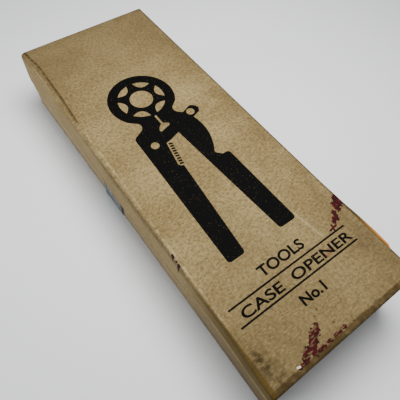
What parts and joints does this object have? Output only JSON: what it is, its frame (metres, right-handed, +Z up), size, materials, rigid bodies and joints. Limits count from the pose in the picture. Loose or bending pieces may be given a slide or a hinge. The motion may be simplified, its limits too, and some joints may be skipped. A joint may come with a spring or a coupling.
{
  "type": "boxed watch case opener",
  "caption": "Cloth-covered lidded carton holding a plier-type opener: split clamp ring with a spoked collet, handles, cam link and spring.",
  "frame": {"origin": "centre of the carton's underside", "axes": "+X across the lid, +Y along it towards the opener's clamp ring, +Z up"},
  "size_m": [0.11, 0.302, 0.052],
  "materials": {
    "carton_board": "tan cloth-textured paper over board, stained and rubbed",
    "label_paper": "blue-grey printed paper",
    "packing_card": "grey-brown millboard",
    "forged_steel": "satin nickel",
    "bright_steel": "polished",
    "spring_steel": "drawn wire",
    "collet_nylon": "black moulded nylon"
  },
  "bodies": {
    "carton": {"base_tray": "carton_board", "side_label": "label_paper", "lower_pad": "packing_card", "head_block": "packing_card", "tail_block": "packing_card"},
    "lid": {"lid": "carton_board", "lid_pad": "packing_card"},
    "opener": {"left_lever": "forged_steel", "collet": "collet_nylon", "pivot_pin": "bright_steel", "pivot_collar_back": "bright_steel", "pivot_collar_front": "bright_steel", "spring_post_lever": "bright_steel", "return_spring": "spring_steel"},
    "right_lever": {"right_lever": "forged_steel"},
    "cam_link": {"link_back": "forged_steel", "link_front": "forged_steel", "cam_pin": "bright_steel", "cam_collar_back": "bright_steel", "cam_collar_front": "bright_steel", "cam_roller": "bright_steel", "spring_post_link": "bright_steel"}
  },
  "joints": [
    {"name": "opener_lift", "type": "slide", "parent": "carton", "child": "opener", "axis": [0, 0, 1], "range_m": [0, 0.075]},
    {"name": "lid_lift", "type": "slide", "parent": "carton", "child": "lid", "axis": [0, 0, 1], "range_m": [0, 0.15]},
    {"name": "handle_squeeze", "type": "hinge", "parent": "opener", "child": "right_lever", "pos_m": [-0.0013, 0.1307, 0.0306], "axis": [0, 0, -1], "range_deg": [0, 1.5], "stiffness_Nm_per_rad": 20, "deforming": ["collet"]},
    {"name": "cam_link_swing", "type": "hinge", "parent": "opener", "child": "cam_link", "pos_m": [-0.0269, 0.0251, 0.0306], "axis": [0, 0, -1], "range_deg": [0, 33], "deforming": ["return_spring"]}
  ],
  "couplings": [
    {"joint": "lid_lift", "follows": "opener_lift", "ratio": 2},
    {"joint": "cam_link_swing", "follows": "handle_squeeze", "ratio": 22}
  ]
}
